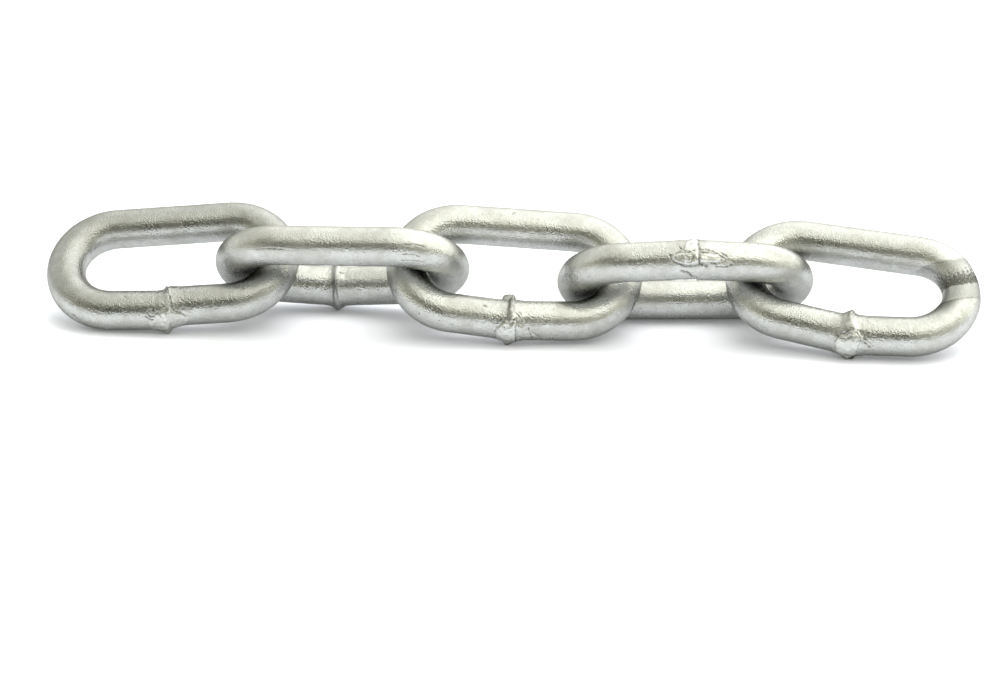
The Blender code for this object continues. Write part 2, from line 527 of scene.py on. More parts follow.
# %% Sizes that differ from link to link
# kink and misfit_angle are in degrees, the rest in millimetres. offset is how far the weld is
# from the leg's middle, and misfit how far the bar's two ends there are out of line.
LINK_LOOKS = {
    # bloom darkens the upward faces of link 1: painted shade
    "link_1": dict(kink=2.2, offset=-0.3, swelling=0.40, reach=3.0, seed=1.7,
                   misfit=0.62, misfit_angle=140, bloom=0.5),
    "link_2": dict(kink=6.7, offset=2.3, swelling=0.50, reach=2.6, seed=4.1,
                   misfit=0.10, misfit_angle=0),
    "link_3": dict(kink=3.7, offset=0.0, swelling=0.45, reach=3.2, seed=7.9,
                   misfit=0.05, misfit_angle=140),
    "link_4": dict(kink=7.1, offset=2.2, swelling=0.20, reach=4.4, seed=12.3,
                   misfit=0.12, misfit_angle=250),
    "link_5": dict(kink=6.8, offset=1.5, swelling=0.50, reach=3.4, seed=15.8,
                   misfit=0.06, misfit_angle=140, seat=True),
}


def grow_link(name, look):
    """Run the tree once and return a plain mesh, in the link's own frame."""
    carrier = new_object("carrier", bpy.data.meshes.new("carrier"))
    modifier = carrier.modifiers.new("chain_link", "NODES")
    modifier.node_group = link_tree
    wanted = {
        "Kink": math.radians(look["kink"]),
        "Weld Offset": look["offset"] * MM,
        "Swelling Height": look["swelling"] * MM,
        "Swelling Reach": look["reach"] * MM,
        "Seed": look["seed"],
        "Material": zinc,
    }
    for item in link_tree.interface.items_tree:
        if item.name in wanted:
            modifier[item.identifier] = wanted[item.name]
    evaluated = carrier.evaluated_get(bpy.context.evaluated_depsgraph_get())
    mesh = bpy.data.meshes.new_from_object(evaluated)
    mesh.name = name
    carrier.modifiers.remove(modifier)
    bpy.data.objects.remove(carrier)
    return mesh


meshes = {name: grow_link(name + "_bar", LINK_LOOKS[name]) for name in LINK_NAMES}
for name, mesh in meshes.items():
    print(name, len(mesh.vertices), "points,", len(mesh.materials), "material")

# %% [markdown]
# ## The welds
#
# Butt welding squeezes hot metal out all round the joint, and every weld on a chain comes out
# differently: a ridge, a curled nub, a thin torn flake, a smear where the trimming tool passed.
# They could be sculpted, or come from one noise texture. But a sculpted mesh can't be read, and
# noise makes all welds alike, so each one is a short list of marks drawn on the bar's skin. A
# mark's points are (millimetres along the bar from the weld, degrees round the bar from its
# outer side), the way one would lay a paper strip round the bar to trace them.

# %% Marks on the skin
BAR_RADIUS_MM = BAR / 2 / MM
FINENESSES = (1,) * 5 + (2,) * 4 + (4,) * 4  # of the waves that make up a ripple
FINE_LOSS = 0.8  # how quickly finer waves grow weaker
RIPPLE_SPAN = 3.5  # brings their sum to between about -1 and 1


def arc_from(angle, middle):
    """Millimetres round the bar from a middle angle, for angles in degrees."""
    return np.radians((angle - middle + 180) % 360 - 180) * BAR_RADIUS_MM


def ripple(along, around, seed, per_mm):
    """Smooth, repeatable unevenness between about -1 and 1, coarse with finer upon it."""
    chance = np.random.default_rng(seed)
    total = np.zeros_like(along)
    for fineness in FINENESSES:
        heading = chance.uniform(0, 2 * math.pi)
        pitch = fineness * per_mm * chance.uniform(0.6, 1.6)
        shift = chance.uniform(0, 2 * math.pi)
        wave = np.sin(pitch * (along * math.cos(heading) + around * math.sin(heading)) + shift)
        total += wave / fineness ** FINE_LOSS
    return total / RIPPLE_SPAN


def off_line(along, around, line):
    """How far each point is from a broken line, and the line's third value where it is nearest."""
    best = np.full_like(along, np.inf)
    value = np.zeros_like(along)
    for first, second in zip(line, line[1:]):
        step = np.subtract(second[:2], first[:2])
        ahead = (along - first[0]) * step[0] + (around - first[1]) * step[1]
        share = np.clip(ahead / max(step @ step, 1e-9), 0, 1)
        away = np.hypot(along - first[0] - share * step[0], around - first[1] - share * step[1])
        nearer = away < best
        best[nearer] = away[nearer]
        value[nearer] = (first[2] + share * (second[2] - first[2]))[nearer]
    return best, value


def inside_outline(along, around, outline):
    """How deep each point is inside a closed outline, in millimetres: negative outside it."""
    closed = outline + outline[:1]
    away = off_line(along, around, closed)[0]
    crossings = np.zeros(along.shape, bool)
    for (x0, y0, _), (x1, y1, _) in zip(closed, closed[1:]):
        spans = (y0 > around) != (y1 > around)
        if y0 != y1:
            at = x0 + (around - y0) * (x1 - x0) / (y1 - y0)
            crossings ^= spans & (along < at)
    return np.where(crossings, away, -away)


def smooth_step(value, low, high):
    """0 up to low, 1 from high on, and a smooth rise between them."""
    share = np.clip((value - low) / (high - low), 0, 1)
    return share * share * (3 - 2 * share)


# %% [markdown]
# ### The five welds, as marks
#
# Sizes are in millimetres. Forms stand up from the bar: a swell is a soft roll, a ridge has a
# crest, a nub is a bead, a tip is a cone and a flake is a thin raised area with an outline. A
# crack is cut in along a line and holds dirt. Dirt, stain and shine only change the tone: dirt
# is broken into spots, a stain is even, and shine is freshly torn metal. A few of them are
# painted light instead: some stains and cracks paint shade beside a form, and some shines paint
# a highlight on it, each noted where it stands. After the points come the mark's size and its
# width. A point's third value is the share of the full size there.

# %% The marks of each weld
MARKS = {}
MARKS["link_1"] = [
    ("ridge", [(-0.6, 150), (-0.4, 130, 0.7), (0.0, 100, 0.4), (0.4, 60, 0.3)], 0.85, 0.85),
    # the next shine is a painted highlight on the ridge's left flank; the crack after it cuts in,
    # and its dark is painted shade on the right flank
    ("shine", [(-0.3, 104), (0.1, 83), (0.0, 70)], 1.0, 0.24),
    ("crack", [(-0.1, 122), (0.2, 98), (0.6, 77), (0.7, 58), (1.0, 45)], 0.15, 0.17),
    ("shine", [(-1.2, 70), (-0.4, 70)], 0.55, 0.45),
    ("dirt", [(-0.8, 63), (-0.6, 63)], 0.75, 0.2),
    ("flake", [(-1.3, 52), (-0.6, 57), (0.5, 54), (0.6, 28), (0.3, 19),
        (-1.4, 19)], 0.15, 0.22, 0.75),
    ("flake", [(-4.1, 27), (-2.3, 42), (-0.9, 60), (0.4, 64), (0.6, 44), (3.1, 25), (4.2, 12),
        (3.1, -15), (0.3, -33), (-2.3, -34), (-3.3, -31), (-4.2, 10)], 0.13, 0.2, 0.45),
    ("crack", [(-3.5, 60), (-2.7, 51)], 0.06, 0.22),
    ("crack", [(-4.1, 47), (-3.6, 36), (-2.9, 35)], 0.1, 0.12),
    ("crack", [(-4.5, 36), (-3.9, 28), (-3.0, 26)], 0.1, 0.13),
    ("shine", [(-3.4, 43), (-2.3, 46)], 0.9, 0.13),
    ("shine", [(-3.4, 36), (-2.5, 38)], 0.8, 0.12),
    ("crack", [(0.9, 50), (1.6, 41), (2.6, 33), (3.2, 21)], 0.07, 0.12),
    ("shine", [(2.6, 38), (3.5, 31)], 0.7, 0.18),
    ("tip", [(-0.7, -37)], 0.7, 1.1),
    ("stain", [(-2.2, -34), (-0.6, -38), (0.1, -36)], 0.85, 0.42),
    ("crack", [(-8.9, 99), (-8.7, 97)], 0.12, 0.2),
    ("crack", [(-17.9, 8), (-17.3, 2)], 0.18, 0.3),
]
MARKS["link_2"] = [
    ("swell", [(0.8, 127, 0.7), (0.5, 168), (0.4, 200), (0.2, 225, 0.8), (-0.2, 262, 0.9),
        (-0.2, 290), (0.1, 360, 0.5)], 0.5, 1.1),
    ("stain", [(0.9, 127), (0.8, 165), (0.8, 205), (0.6, 240, 0.6)], 0.42, 0.85),
    ("shine", [(-0.4, 124), (-0.6, 160)], 1.0, 0.35),
    ("shine", [(-0.7, 200), (-0.8, 216)], 0.6, 0.2),
    ("tip", [(-0.1, 286)], 0.85, 1.4),
    ("dirt", [(-0.4, 284), (0.4, 288)], 0.6, 0.4),
    ("crack", [(-0.9, 158), (-1.6, 163), (-2.3, 160)], 0.1, 0.14),
    # scuffs on the plain leg, where the chain was dragged over its neighbours
    ("dirt", [(39.0, 344, 0.6), (41.2, 354), (44.0, 351, 0.7)], 0.3, 0.95),
    ("crack", [(39.0, 330), (41.1, 329), (43.9, 326)], 0.04, 0.12),
    ("dirt", [(-44.0, 348), (-42.0, 334)], 0.28, 0.7),
    ("crack", [(-44.4, 346), (-42.8, 350), (-41.4, 348)], 0.04, 0.12),
    ("crack", [(-44.5, 319), (-43.0, 321), (-41.9, 317)], 0.04, 0.13),
    ("crack", [(-44.7, 295), (-42.0, 302), (-40.8, 304)], 0.03, 0.13),
]
MARKS["link_3"] = [
    ("nub", [(-1.4, 152), (-0.3, 152), (0.2, 150)], 0.95, 0.85),
    # painted shade on the nub's left half
    ("stain", [(-1.7, 149), (-0.9, 149)], 0.75, 0.5),
    ("swell", [(-0.2, 150), (-0.1, 110), (-0.1, 90), (0.1, 68, 0.7)], 0.35, 0.9),
    # painted shade on the swell's left side
    ("stain", [(-0.4, 140, 0.8), (-0.4, 104), (-0.4, 82), (-0.4, 70)], 0.52, 0.75),
    ("dirt", [(-0.7, 80), (-0.3, 70)], 0.4, 0.4),
    # a painted highlight on the swell's right side
    ("shine", [(0.5, 122), (0.4, 97), (0.4, 82), (0.5, 68)], 1.0, 0.2),
    ("shine", [(1.2, 104), (3.0, 100)], 0.3, 0.8),
    ("crack", [(0.9, 80), (1.6, 71)], 0.09, 0.14),
    ("crack", [(1.5, 87), (2.0, 76)], 0.08, 0.13),
    ("dirt", [(0.1, 62), (0.7, 63)], 0.9, 0.18),
    ("dirt", [(1.7, 66), (2.7, 65), (3.0, 59), (4.3, 59)], 0.45, 0.2),
    ("dirt", [(-2.5, 54), (-1.3, 55), (-0.3, 64)], 0.5, 0.25),
    ("shine", [(-2.0, 47), (-1.9, 44)], 1.0, 0.22),
    ("shine", [(-1.6, 51), (-0.8, 55)], 0.6, 0.15),
    ("dirt", [(-1.4, 41), (-1.0, 39)], 0.5, 0.2),
    ("flake", [(0.4, 68), (-1.0, 57), (-2.4, 32), (-2.8, 14), (-2.2, -20), (0.6, -27),
        (1.1, 10), (1.2, 40), (1.1, 55)], 0.16, 0.18, 0.45),
    ("crack", [(-2.9, 15), (-2.5, 34), (-1.1, 59), (0.1, 68)], 0.08, 0.13),
    ("flake", [(1.4, 45), (2.4, 42), (4.1, 25), (5.4, 6), (4.4, -8), (3.0, 0),
        (1.5, 8)], 0.09, 0.22, 0.25),
    ("crack", [(4.2, 25), (5.7, 7), (4.6, -9)], 0.08, 0.13),
    ("crack", [(1.1, 60), (0.8, 41), (0.9, 28), (1.0, -12)], 0.12, 0.12),
    ("crack", [(1.9, 59), (2.2, 50)], 0.08, 0.13),
    ("crack", [(3.4, 38), (3.9, 18), (4.2, 0)], 0.08, 0.14),
    ("tip", [(-0.3, -31)], 0.75, 1.2),
    ("dirt", [(-1.2, -29), (-0.2, -32), (0.6, -27)], 0.85, 0.4),
    ("crack", [(-55.0, 71), (-54.8, 69)], 0.14, 0.26),
    ("crack", [(-5.7, 96), (-5.2, 93)], 0.08, 0.22),
]
MARKS["link_4"] = [
    ("flake", [(-1.9, 36), (-1.1, 44), (-0.3, 64), (-0.2, 4), (-1.1, -1), (-2.3, 1), (-2.6, 7),
        (-2.4, 22)], 0.26, 0.15, 0.95),
    ("flake", [(-5.1, -14), (-4.7, -7), (-4.0, -3), (-2.6, -2), (-1.1, -2), (-0.2, 3),
        (-0.2, -28), (-0.9, -36), (-1.8, -38), (-2.6, -35), (-3.7, -29),
        (-4.4, -25)], 0.2, 0.18, 0.65),
    ("shine", [(-4.9, -12), (-4.2, -17)], 0.9, 0.22),
    # painted shade along the left edge of the flake above: this stain, and the next crack, which
    # also cuts in
    ("stain", [(-5.4, -10), (-5.4, -18), (-4.9, -25)], 0.55, 0.22),
    ("crack", [(-5.4, -8), (-5.3, -18), (-4.7, -26)], 0.12, 0.16),
    ("crack", [(-3.6, 19), (-3.1, 10)], 0.1, 0.14),
    ("dirt", [(-2.8, 9), (-2.5, 9)], 0.7, 0.15),
    ("stain", [(-4.1, -1), (-3.1, 1)], 0.5, 0.22),
    ("dirt", [(-2.9, 0), (-1.3, -1)], 0.4, 0.14),
    # a painted shadow below that flake: this crack, which also cuts in, and the next stain
    ("crack", [(-4.4, -28), (-3.4, -34), (-2.5, -39), (-1.2, -41), (-0.1, -37)], 0.1, 0.2),
    ("stain", [(-3.0, -39), (-1.5, -43), (-0.2, -41)], 0.42, 0.35),
    ("crack", [(-0.05, 64), (-0.05, 10), (-0.05, -36)], 0.12, 0.13),
    ("stain", [(0.3, 52), (0.6, 38), (0.5, 24)], 0.25, 0.45),
    ("crack", [(0.0, 5), (0.8, 9)], 0.08, 0.17),
    ("crack", [(0.8, 9), (1.6, 7), (2.4, 3)], 0.11, 0.18),
    ("crack", [(0.0, -2), (1.3, -1), (2.8, -2), (3.8, -9), (4.5, -15)], 0.12, 0.16),
    ("flake", [(0.0, -11), (0.3, -5), (1.5, -4), (3.3, -5), (4.1, -12), (3.6, -23), (2.4, -27),
        (0.0, -27)], 0.16, 0.16, 0.9),
    ("crack", [(3.8, 2), (4.3, -2), (5.0, -9)], 0.09, 0.15),
    ("dirt", [(0.1, -34), (1.1, -39)], 0.75, 0.32),
    ("dirt", [(2.0, -31), (2.9, -32)], 0.7, 0.22),
    ("crack", [(2.9, -39), (5.1, -38), (6.2, -31)], 0.07, 0.15),
    ("shine", [(3.7, -33), (4.7, -28), (5.7, -23)], 0.7, 0.2),
    ("crack", [(3.4, -30), (4.3, -26), (5.4, -19)], 0.06, 0.13),
    ("crack", [(-3.3, -58, 0.6), (-2.2, -63), (-1.4, -79), (-0.4, -93)], 0.3, 0.27),
    ("crack", [(-2.2, -65), (-1.2, -86)], 0.2, 0.22),
    ("ridge", [(-0.2, -60, 0.3), (-0.2, -100), (-0.1, -140, 0.3)], 0.25, 0.4),
    ("dirt", [(-18.3, -11, 0.6), (-16.5, -6), (-14.1, -3, 0.5)], 0.32, 0.85),
    ("dirt", [(6.6, -24), (9.4, -19), (11.8, -23), (14.3, -29, 0.6)], 0.3, 0.5),
]
MARKS["link_5"] = [
    ("swell", [(-0.3, 152), (-0.4, 138), (-0.3, 103, 0.6), (0.1, 76, 0.5)], 0.8, 2.00),
    # painted shade on the swell's left side
    ("stain", [(-0.8, 140, 0.7), (-0.5, 100), (-0.1, 82), (0.1, 70)], 0.5, 0.75),
    ("stain", [(-0.1, 86), (0.1, 72)], 0.3, 0.4),
    ("shine", [(0.9, 95), (1.5, 78), (2.2, 66), (2.8, 59)], 0.9, 0.2),
    ("crack", [(-1.7, 46), (-1.3, 52), (-0.3, 57), (0.7, 69), (1.0, 65)], 0.09, 0.19),
    ("dirt", [(-1.9, 49), (-1.7, 48)], 0.8, 0.25),
    ("shine", [(-1.1, 48), (-0.8, 51)], 0.9, 0.2),
    ("crack", [(1.4, 65), (1.9, 51), (2.3, 43)], 0.1, 0.11),
    ("crack", [(2.0, 66), (2.4, 51)], 0.1, 0.11),
    ("dirt", [(2.5, 66), (3.0, 55)], 0.7, 0.22),
    ("dirt", [(3.5, 67), (3.9, 61)], 0.7, 0.2),
    ("flake", [(0.1, 61), (-1.3, 44), (-2.0, 29), (-1.7, -8), (-0.2, -30), (1.3, -11),
        (2.0, 24), (2.9, 49), (1.4, 68)], 0.15, 0.18, 0.45),
    ("crack", [(-2.1, 27), (-1.4, 46), (0.0, 63)], 0.08, 0.13),
    ("flake", [(3.0, 45), (4.6, 28), (5.4, 14), (3.6, 0), (2.2, 12)], 0.08, 0.22, 0.2),
    ("dirt", [(1.7, 67), (2.6, 65), (3.8, 66)], 0.45, 0.25),
    ("dirt", [(2.3, 36), (3.2, 31), (4.2, 18), (4.8, 21)], 0.5, 0.25),
    ("tip", [(0.2, -34)], 0.85, 1.2),
    ("dirt", [(-0.6, -30), (0.2, -36), (1.1, -20)], 0.85, 0.4),
]

MARK_WINDOW = 9.0  # millimetres along the bar that one mark can reach
# a crack's dark is dirt, and painted shade where it stands beside a form
CRACK_DIRT = 0.6  # how dark a crack is
UNEVEN = 0.3  # how much a mark's strength varies
FORM_UNEVEN = 0.15  # and a standing form's height
SPOTTED = 0.8  # how broken the dirt is
RAGGED = 0.09  # how far a mark's edges wander
CRUMPLE = 0.028  # small unevenness of the skin near a weld
CRUMPLE_REACH = 6.0
UNEVEN_PITCH, SPOT_PITCH, RAGGED_PITCH, CRUMPLE_PITCH = 4.0, 9.0, 3.2, 4.5  # how fine each is
FORMS = {"swell": lambda gone: (1 - gone ** 2) ** 2,
         "ridge": lambda gone: (1 - gone) ** 1.35,
         "nub": lambda gone: np.sqrt(1 - gone ** 2),
         "tip": lambda gone: (1 - gone) ** 1.3}


def lift(layer, near, values):
    """Raise a layer to the values, where it is lower than they are."""
    layer[near] = np.maximum(layer[near], values)


def draw_marks(along, angle, marks, seed):
    """The height, the mask of bare metal and painted highlight, and the mask of dirt and painted
    shade that the marks give at every point.
    """
    standing, flakes, cut, flash, grime = (np.zeros_like(along) for _ in range(5))
    for number, (kind, points, size, width, *shine) in enumerate(marks):
        middle = float(np.mean([p[1] for p in points]))
        near = np.abs(along - np.mean([p[0] for p in points])) < MARK_WINDOW
        u, v = along[near], arc_from(angle[near], middle)
        chance = seed + 10 * number
        uneven = 1 + UNEVEN * ripple(u, v, chance, UNEVEN_PITCH)
        spotted = np.clip(1 + SPOTTED * ripple(u, v, chance + 3, SPOT_PITCH), 0, 2)
        wander = [RAGGED * ripple(u, v, chance + turn, RAGGED_PITCH) for turn in (1, 2)]
        u, v = u + wander[0], v + wander[1]
        line = [(p[0], math.radians(p[1] - middle) * BAR_RADIUS_MM, *(p[2:] or (1.0,)))
                for p in points]
        if kind == "flake":
            raised = smooth_step(inside_outline(u, v, line), 0.0, width)
            lift(flakes, near, size * raised * uneven)
            lift(flash, near, shine[0] * raised * uneven)
            continue
        away, share = off_line(u, v, line if len(line) > 1 else line * 2)
        if kind in FORMS:
            form = FORMS[kind](np.clip(away / width, 0, 1)) * share
            lift(standing, near, size * form * (1 - FORM_UNEVEN + FORM_UNEVEN * uneven))
            continue
        form = np.exp(-(away / width) ** 2) * share * uneven
        if kind == "crack":
            lift(cut, near, size * form)
            lift(grime, near, CRACK_DIRT * form * spotted)
        elif kind == "dirt":
            lift(grime, near, size * form * spotted)
        elif kind == "stain":
            lift(grime, near, size * form)
        elif kind == "shine":
            lift(flash, near, size * form)
    near_weld = np.exp(-(along / CRUMPLE_REACH) ** 2)
    crumple = CRUMPLE * near_weld * ripple(along, arc_from(angle, 0), seed + 5, CRUMPLE_PITCH)
    return standing + flakes - cut + crumple, flash * (1 - np.clip(grime, 0, 1)), grime


# %% [markdown]
# ### A worn seat, and painted shade on it
#
# Chain wears where bar bears on bar: a shallow hollow across the crown with crisp edges. Its
# tones are painted shade and a painted highlight, banded like the shading of a bar lying across
# the crown: a dark band with a thin dark line along its lower edge, duller strips on both sides,
# a painted shadow in the corner below it and a painted highlight above it. It could be cut with
# a boolean, but the edges of a real seat are soft in depth and sharp only in tone, so here it is
# a hollow in the skin, with its own share of the masks of painted shade and painted highlight.

# %% The worn seat and its painted shade
SEAT_ANGLES = (-60, 35, 82, 107, 123, 180)  # degrees round the bar
SEAT_START = (27.6, 26.8, 24.8, 23.7, 22.9, 21.0)  # millimetres along it, at those angles
SEAT_END = (34.6, 34.7, 34.7, 36.0, 37.2, 43.0)
SEAT_IN, SEAT_OUT = (-60, -20), (170, 200)  # degrees over which it comes in and fades out
# the hollow's depth in millimetres, and the strength of the painted highlight above the seat
SEAT_DEPTH, SEAT_SHINE = 0.18, 0.55
# Places across the seat, where 0 is its lower edge and 1 its upper one
LOWER_EDGE, UPPER_EDGE = (-0.02, 0.03), (0.97, 1.02)
DARK_START, DARK_END = (0.36, 0.38), (0.50, 0.80)  # the dark band's crisp side and its soft one
LOWER_END, UPPER_START = (0.35, 0.38), (0.60, 0.98)  # the duller strips on both sides of it
RIM_WIDTH = 0.015  # the thin dark line along the lower edge, painted shade
CORNER_REACH, SHINE_REACH = 0.45, 0.35  # the painted shadow in the corner below the seat, and the painted highlight above it
# how dark each part of the painted shade is
DARK_DIRT, RIM_DIRT, CORNER_DIRT, LOWER_DIRT, UPPER_DIRT = 0.92, 0.6, 0.8, 0.32, 0.34


def worn_seat(along, angle, seed):
    """Height of the seat, and its masks of painted highlight and painted shade."""
    turned = (angle + 110) % 360 - 110
    start = np.interp(turned, SEAT_ANGLES, SEAT_START)
    end = np.interp(turned, SEAT_ANGLES, SEAT_END)
    across = (along - start) / (end - start)
    around = arc_from(angle, 60)
    shown = smooth_step(turned, *SEAT_IN) * (1 - smooth_step(turned, *SEAT_OUT))
    edge = smooth_step(across, *LOWER_EDGE) * (1 - smooth_step(across, *UPPER_EDGE)) * shown
    wobble = across + 0.012 * ripple(along, around, seed, 2.5)
    ragged = wobble + 0.10 * ripple(along, around, seed + 1, 6.0)
    spots = np.clip(1.1 + 0.35 * ripple(along, around, seed + 2, 9.0), 0, 1.3)
    # Painted shade: the dark band, the thin rim line, the duller strips and the shadow in the
    # corner.
    fade = 1 - smooth_step(ragged, *DARK_END)
    dark = smooth_step(wobble, *DARK_START) * fade * edge * spots
    rim = np.exp(-((wobble + 0.005) / RIM_WIDTH) ** 2) * shown
    dull = UPPER_DIRT * smooth_step(across, *UPPER_START) * edge
    dull = dull + LOWER_DIRT * (1 - smooth_step(across, *LOWER_END)) * edge
    corner = smooth_step(turned, 70, 110) * (across < 0) * (turned < 175)
    corner = corner * np.exp(-(across / CORNER_REACH) ** 2)
    # A painted highlight above the seat.
    bright = (across > 1) * (turned < 170) * np.exp(-((across - 1) / SHINE_REACH) ** 2)
    bright = SEAT_SHINE * (bright * smooth_step(turned, -60, 20))
    dirt = DARK_DIRT * dark + RIM_DIRT * rim + dull + CORNER_DIRT * corner
    hollow = np.sin(np.pi * np.clip(across, 0, 1)) ** 0.6 * shown
    return -SEAT_DEPTH * hollow, bright, np.clip(dirt, 0, 1)


# %% [markdown]
# ### Working the marks into the meshes
#
# NumPy moves all the points of a link at once. The tree left on each point its distance from
# the weld, its angle round the bar and the middle of the bar there.

# %% Work the skin
FLOOR_CLEARANCE = 0.02 * MM
MISFIT_FADE = 13.0  # millimetres over which two misaligned halves come back in line
MISFIT_STEP = 0.25  # millimetres over which they change sides at the weld


def read_values(mesh, name, width=1):
    """An attribute of the points, as plain values or as rows of a few."""
    values = np.zeros(len(mesh.vertices) * width, np.float32)
    mesh.attributes[name].data.foreach_get("value" if width == 1 else "vector", values)
    return values.astype(float).reshape(-1, width) if width > 1 else values.astype(float)


def write_masks(mesh, **masks):
    for name, values in masks.items():
        layer = mesh.attributes.new(name, "FLOAT", "POINT")
        layer.data.foreach_set("value", values.astype(np.float32))


def point_rows(mesh):
    """The mesh's points as rows of x, y, z."""
    points = np.zeros(len(mesh.vertices) * 3)
    mesh.vertices.foreach_get("co", points)
    return points.reshape(-1, 3)


def work_skin(mesh, marks, look, seed):
    """Move the mesh's points by their marks, and write its masks."""
    points = point_rows(mesh)
    along = read_values(mesh, "from_weld") / MM
    angle = np.degrees(read_values(mesh, "round_angle"))
    radial = points - read_values(mesh, "bar_line", 3)
    radial /= np.linalg.norm(radial, axis=1)[:, None]
    height, flash, grime = draw_marks(along, angle, marks, seed)
    # link 5's seat: a hollow, with its painted highlight and painted shade
    if look.get("seat"):
        seat_height, seat_flash, seat_grime = worn_seat(along, angle, seed)
        height += seat_height
        flash = np.maximum(flash, seat_flash)
        grime = np.maximum(grime, seat_grime)
    points = points + radial * (height * MM)[:, None]
    side = np.tanh(along / MISFIT_STEP) * (1 - smooth_step(np.abs(along), 0, MISFIT_FADE)) / 2
    turn = math.radians(look["misfit_angle"])
    shift = np.array((0, -math.cos(turn), math.sin(turn))) * look["misfit"] * MM
    points = points + side[:, None] * shift
    mesh.vertices.foreach_set("co", points.ravel())
    write_masks(mesh, flash=flash, grime=grime)
    mesh.attributes.remove(mesh.attributes["bar_line"])
    return height


for number, name in enumerate(LINK_NAMES):
    moved = work_skin(meshes[name], MARKS[name], LINK_LOOKS[name], 100 * (number + 1))
    print(name, "weld stands", round(moved.max(), 2), "mm proud,",
          "deepest cut", round(-moved.min(), 2))

# %% [markdown]
# ### Painted shade where the links touch
#
# Where one crown hooks the next, the bars all but touch and no light gets in. A
# ray-traced shade alone leaves the metal there too light, because metal mirrors its bright
# neighbour. So every point's distance to the neighbouring link is measured, and the skin is
# darkened where that is small: painted shade.

# %% Painted shade where the links touch
# painted shade between touching links
TOUCH_DIRT = 0.97  # how dark the metal is right beside its neighbour
TOUCH_REACH = 0.85  # millimetres away at which that has mostly gone
TOUCH_SHARPNESS = 1.2  # how quickly, once it starts to go
TOUCH_LIMIT = 4.0 * MM


def put_in_place(mesh, place):
    """Move the mesh to its place, and return its points and its surface for measuring."""
    mesh.transform(place)
    points = point_rows(mesh)
    return points, BVHTree.FromPolygons(points.tolist(), [p.vertices[:] for p in mesh.polygons])


placed = {name: put_in_place(meshes[name], places[name]) for name in LINK_NAMES}
touch = {name: np.zeros(len(points)) for name, (points, _) in placed.items()}
for first, second in zip(LINK_NAMES, LINK_NAMES[1:]):
    for name, other in ((first, second), (second, first)):
        points, (others, surface) = placed[name][0], placed[other]
        low, high = others.min(axis=0) - TOUCH_LIMIT, others.max(axis=0) + TOUCH_LIMIT
        gaps = np.full(len(points), np.inf)
        for index in np.flatnonzero(np.all((points > low) & (points < high), axis=1)):
            gap = surface.find_nearest(points[index], TOUCH_LIMIT)[3]
            gaps[index] = np.inf if gap is None else gap / MM
        dark = TOUCH_DIRT * np.exp(-(gaps / TOUCH_REACH) ** TOUCH_SHARPNESS)
        touch[name] = np.maximum(touch[name], dark)
        print(name, "is", round(gaps.min(), 3), "mm from", other)

# %% [markdown]
# ### The finished links
#
# Zinc that faces up is darkened on link 1: painted shade for the weaker light from above at that
# end. Each link then stands for its CAD node and rides on that node's body, so that it swings
# with it.

# %% Put the links in place
BLOOM_FROM, BLOOM_FULL = -0.1, 0.45  # how far up a point faces where the painted top shade starts and is full

for name in LINK_NAMES:
    mesh = meshes[name]
    normals = np.zeros(len(mesh.vertices) * 3, np.float32)
    mesh.vertices.foreach_get("normal", normals)
    # painted shade on the faces that look up
    upward = smooth_step(normals.reshape(-1, 3)[:, 2], BLOOM_FROM, BLOOM_FULL)
    write_masks(mesh, bloom=upward * LINK_LOOKS[name].get("bloom", 0.0), touch=touch[name])
    for point in mesh.vertices:  # a weld's tip stops at the floor
        point.co.z = max(point.co.z, FLOOR_CLEARANCE)
    piece = new_object(name + "_bar", mesh)
    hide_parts(name)
    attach(piece, name)
    print(piece.name, "rides on", name, "with", len(mesh.polygons), "faces")

# %% [markdown]
# ## The table and its light
#
# The chain was photographed on a white table under a broad soft light that hangs behind it and
# to the right. Metal shows nothing but its surroundings, so these have to be right: the white
# table below, the pale light above, and the darker room on the camera's side, low and to the
# left, which draws the dark line along every bar.

# %% Floor
NEAR, FAR = -0.75, 3.0  # metres to the table's near edge, and to its back and sides
PAPER = {"Base Color": (0.71, 0.725, 0.795, 1.0), "Roughness": 0.9, "Specular IOR Level": 0.1,
         "Emission Color": (1.0, 1.0, 1.0, 1.0), "Emission Strength": 0.11}

floor_mesh = bpy.data.meshes.new("floor")
floor_mesh.from_pydata([(-FAR, NEAR, 0), (FAR, NEAR, 0), (FAR, FAR, 0), (-FAR, FAR, 0)],
                       [], [(0, 1, 2, 3)])
floor = new_object("floor", floor_mesh)
paper = bpy.data.materials.new("white_paper")
paper.use_nodes = True
for name, value in PAPER.items():
    paper.node_tree.nodes["Principled BSDF"].inputs[name].default_value = value
floor_mesh.materials.append(paper)
print("table:", 2 * FAR, "m wide")

# %% [markdown]
# ### The room that the metal mirrors
#
# The world's colour follows the direction: how far to the right it points, from -1 to 1, and its
# height angle, 0 degrees behind the camera, 90 overhead and 180 straight ahead. A picture of a
# room would do too, but here each band of light along a bar has a named cause.

# %% World
CEILING_LEFT = (1.15, 1.15, 1.02, 1.0)
CEILING_RIGHT = (2.10, 2.10, 1.86, 1.0)
CEILING_TURN = (-0.38, 0.04)  # how far right the one becomes the other
WINDOW = (2.50, 2.49, 2.33, 1.0)  # the brightest part of the ceiling, to the right
WINDOW_START, WINDOW_END = (0.04, 0.34), (0.55, 0.75)
ROOM_LEFT = (0.07, 0.068, 0.035, 1.0)
ROOM_RIGHT = (0.59, 0.58, 0.42, 1.0)
ROOM_TURN = (-0.25, 0.45)
ROOM_FAR_LEFT = (-0.8, -0.4)  # where the room grows light again, at the far left
BACK_WALL = 0.60  # how bright the wall behind the table is, beside the ceiling
BACK_WALL_ANGLES = (160, 176)
OVER_TABLE = 1.15  # how much brighter the ceiling is over the table
OVER_TABLE_ANGLES = (105, 140)
BLUENESS = (0.98, 1.05)  # the ceiling's blue, over the camera and over the table
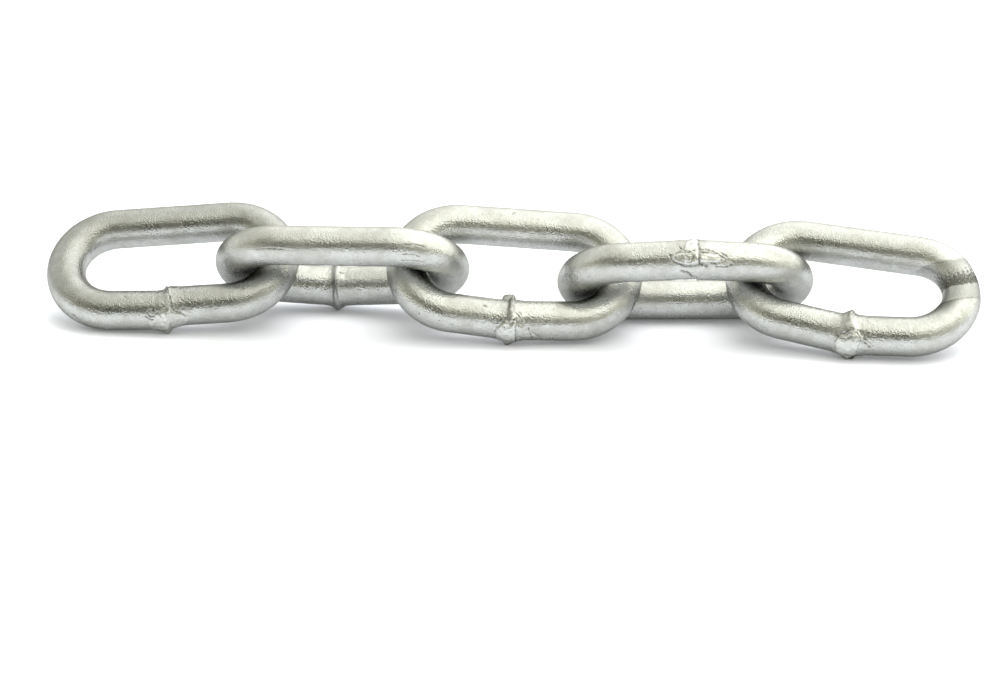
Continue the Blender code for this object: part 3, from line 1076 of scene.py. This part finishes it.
BLUENESS_ANGLES = (50, 150)
ROOM_ANGLE = math.radians(12)  # the dark room's height angle straight behind the camera
ROOM_RISE = math.radians(40)  # how much higher it reaches towards the left
ROOM_RISE_END = -0.6  # how far left that goes on
ROOM_EDGES = (17, 31)  # degrees from its middle where it begins to fade and is gone

world = bpy.data.worlds.new("studio")
bpy.context.scene.world = world
world.use_nodes = True
sky = world.node_tree
sky.nodes.clear()
minus, times = sums(sky)[1:]
look_at = add(sky, "ShaderNodeTexCoord").outputs["Generated"]
parts = add(sky, "ShaderNodeSeparateXYZ", {"Vector": look_at}).outputs
across = parts["X"]
height_angle = maths(sky, "ARCTAN2", parts["Z"], times(parts["Y"], -1.0))


def by_angle(value, angles, first, last):
    """A value that changes from first to last between two angles in degrees."""
    return steps(sky, value, *map(math.radians, angles), first, last)


ceiling = mix_colour(sky, steps(sky, across, *CEILING_TURN), CEILING_LEFT, CEILING_RIGHT)
window = steps(sky, across, *WINDOW_START)
window = times(window, steps(sky, across, *WINDOW_END, 1.0, 0.0))
ceiling = mix_colour(sky, window, ceiling, WINDOW)
for angles, brightness in ((BACK_WALL_ANGLES, BACK_WALL), (OVER_TABLE_ANGLES, OVER_TABLE)):
    ceiling = vectors(sky, "SCALE", ceiling, by_angle(height_angle, angles, 1.0, brightness))
blueness = by_angle(height_angle, BLUENESS_ANGLES, *BLUENESS)
ceiling = vectors(sky, "MULTIPLY", ceiling, combine(sky, 1.0, 1.0, blueness))
room = mix_colour(sky, steps(sky, across, *ROOM_TURN), ROOM_LEFT, ROOM_RIGHT)
room = mix_colour(sky, steps(sky, across, *ROOM_FAR_LEFT, 1.0, 0.0), room, ROOM_RIGHT)
left = maths(sky, "MINIMUM", maths(sky, "MAXIMUM", across, ROOM_RISE_END), 0.0)
room_middle = minus(ROOM_ANGLE, times(left, ROOM_RISE))
off_room = maths(sky, "ABSOLUTE", minus(height_angle, room_middle))
colour = mix_colour(sky, by_angle(off_room, ROOM_EDGES, 1.0, 0.0), ceiling, room)
background = add(sky, "ShaderNodeBackground", {"Color": colour, "Strength": 1.0})
add(sky, "ShaderNodeOutputWorld", {"Surface": background.outputs[0]})
print("room:", len(sky.nodes), "nodes")

# %% [markdown]
# ### The soft light
#
# The world alone lights the table too evenly. A broad lamp above it, a little behind and to the
# right, gives the soft shadows under the bars. The metal mirrors only the world.

# %% Softbox
SOFTBOX_PLACE = Vector((0.2, 0.3, 1.1))  # it points at the chain's middle
lamp = bpy.data.lights.new("softbox", "AREA")
lamp.shape = "RECTANGLE"
lamp.size, lamp.size_y = 1.2, 0.9
lamp.energy = 9.0
lamp.color = (1.0, 1.0, 0.95)
softbox = new_object("softbox", lamp)
softbox.location = SOFTBOX_PLACE
softbox.visible_glossy = False
softbox.rotation_euler = (-SOFTBOX_PLACE).to_track_quat("-Z", "Y").to_euler()
view = bpy.context.scene.view_settings
view.view_transform, view.look = "Standard", "None"
print("softbox:", lamp.energy, "W, colours shown as", view.view_transform)
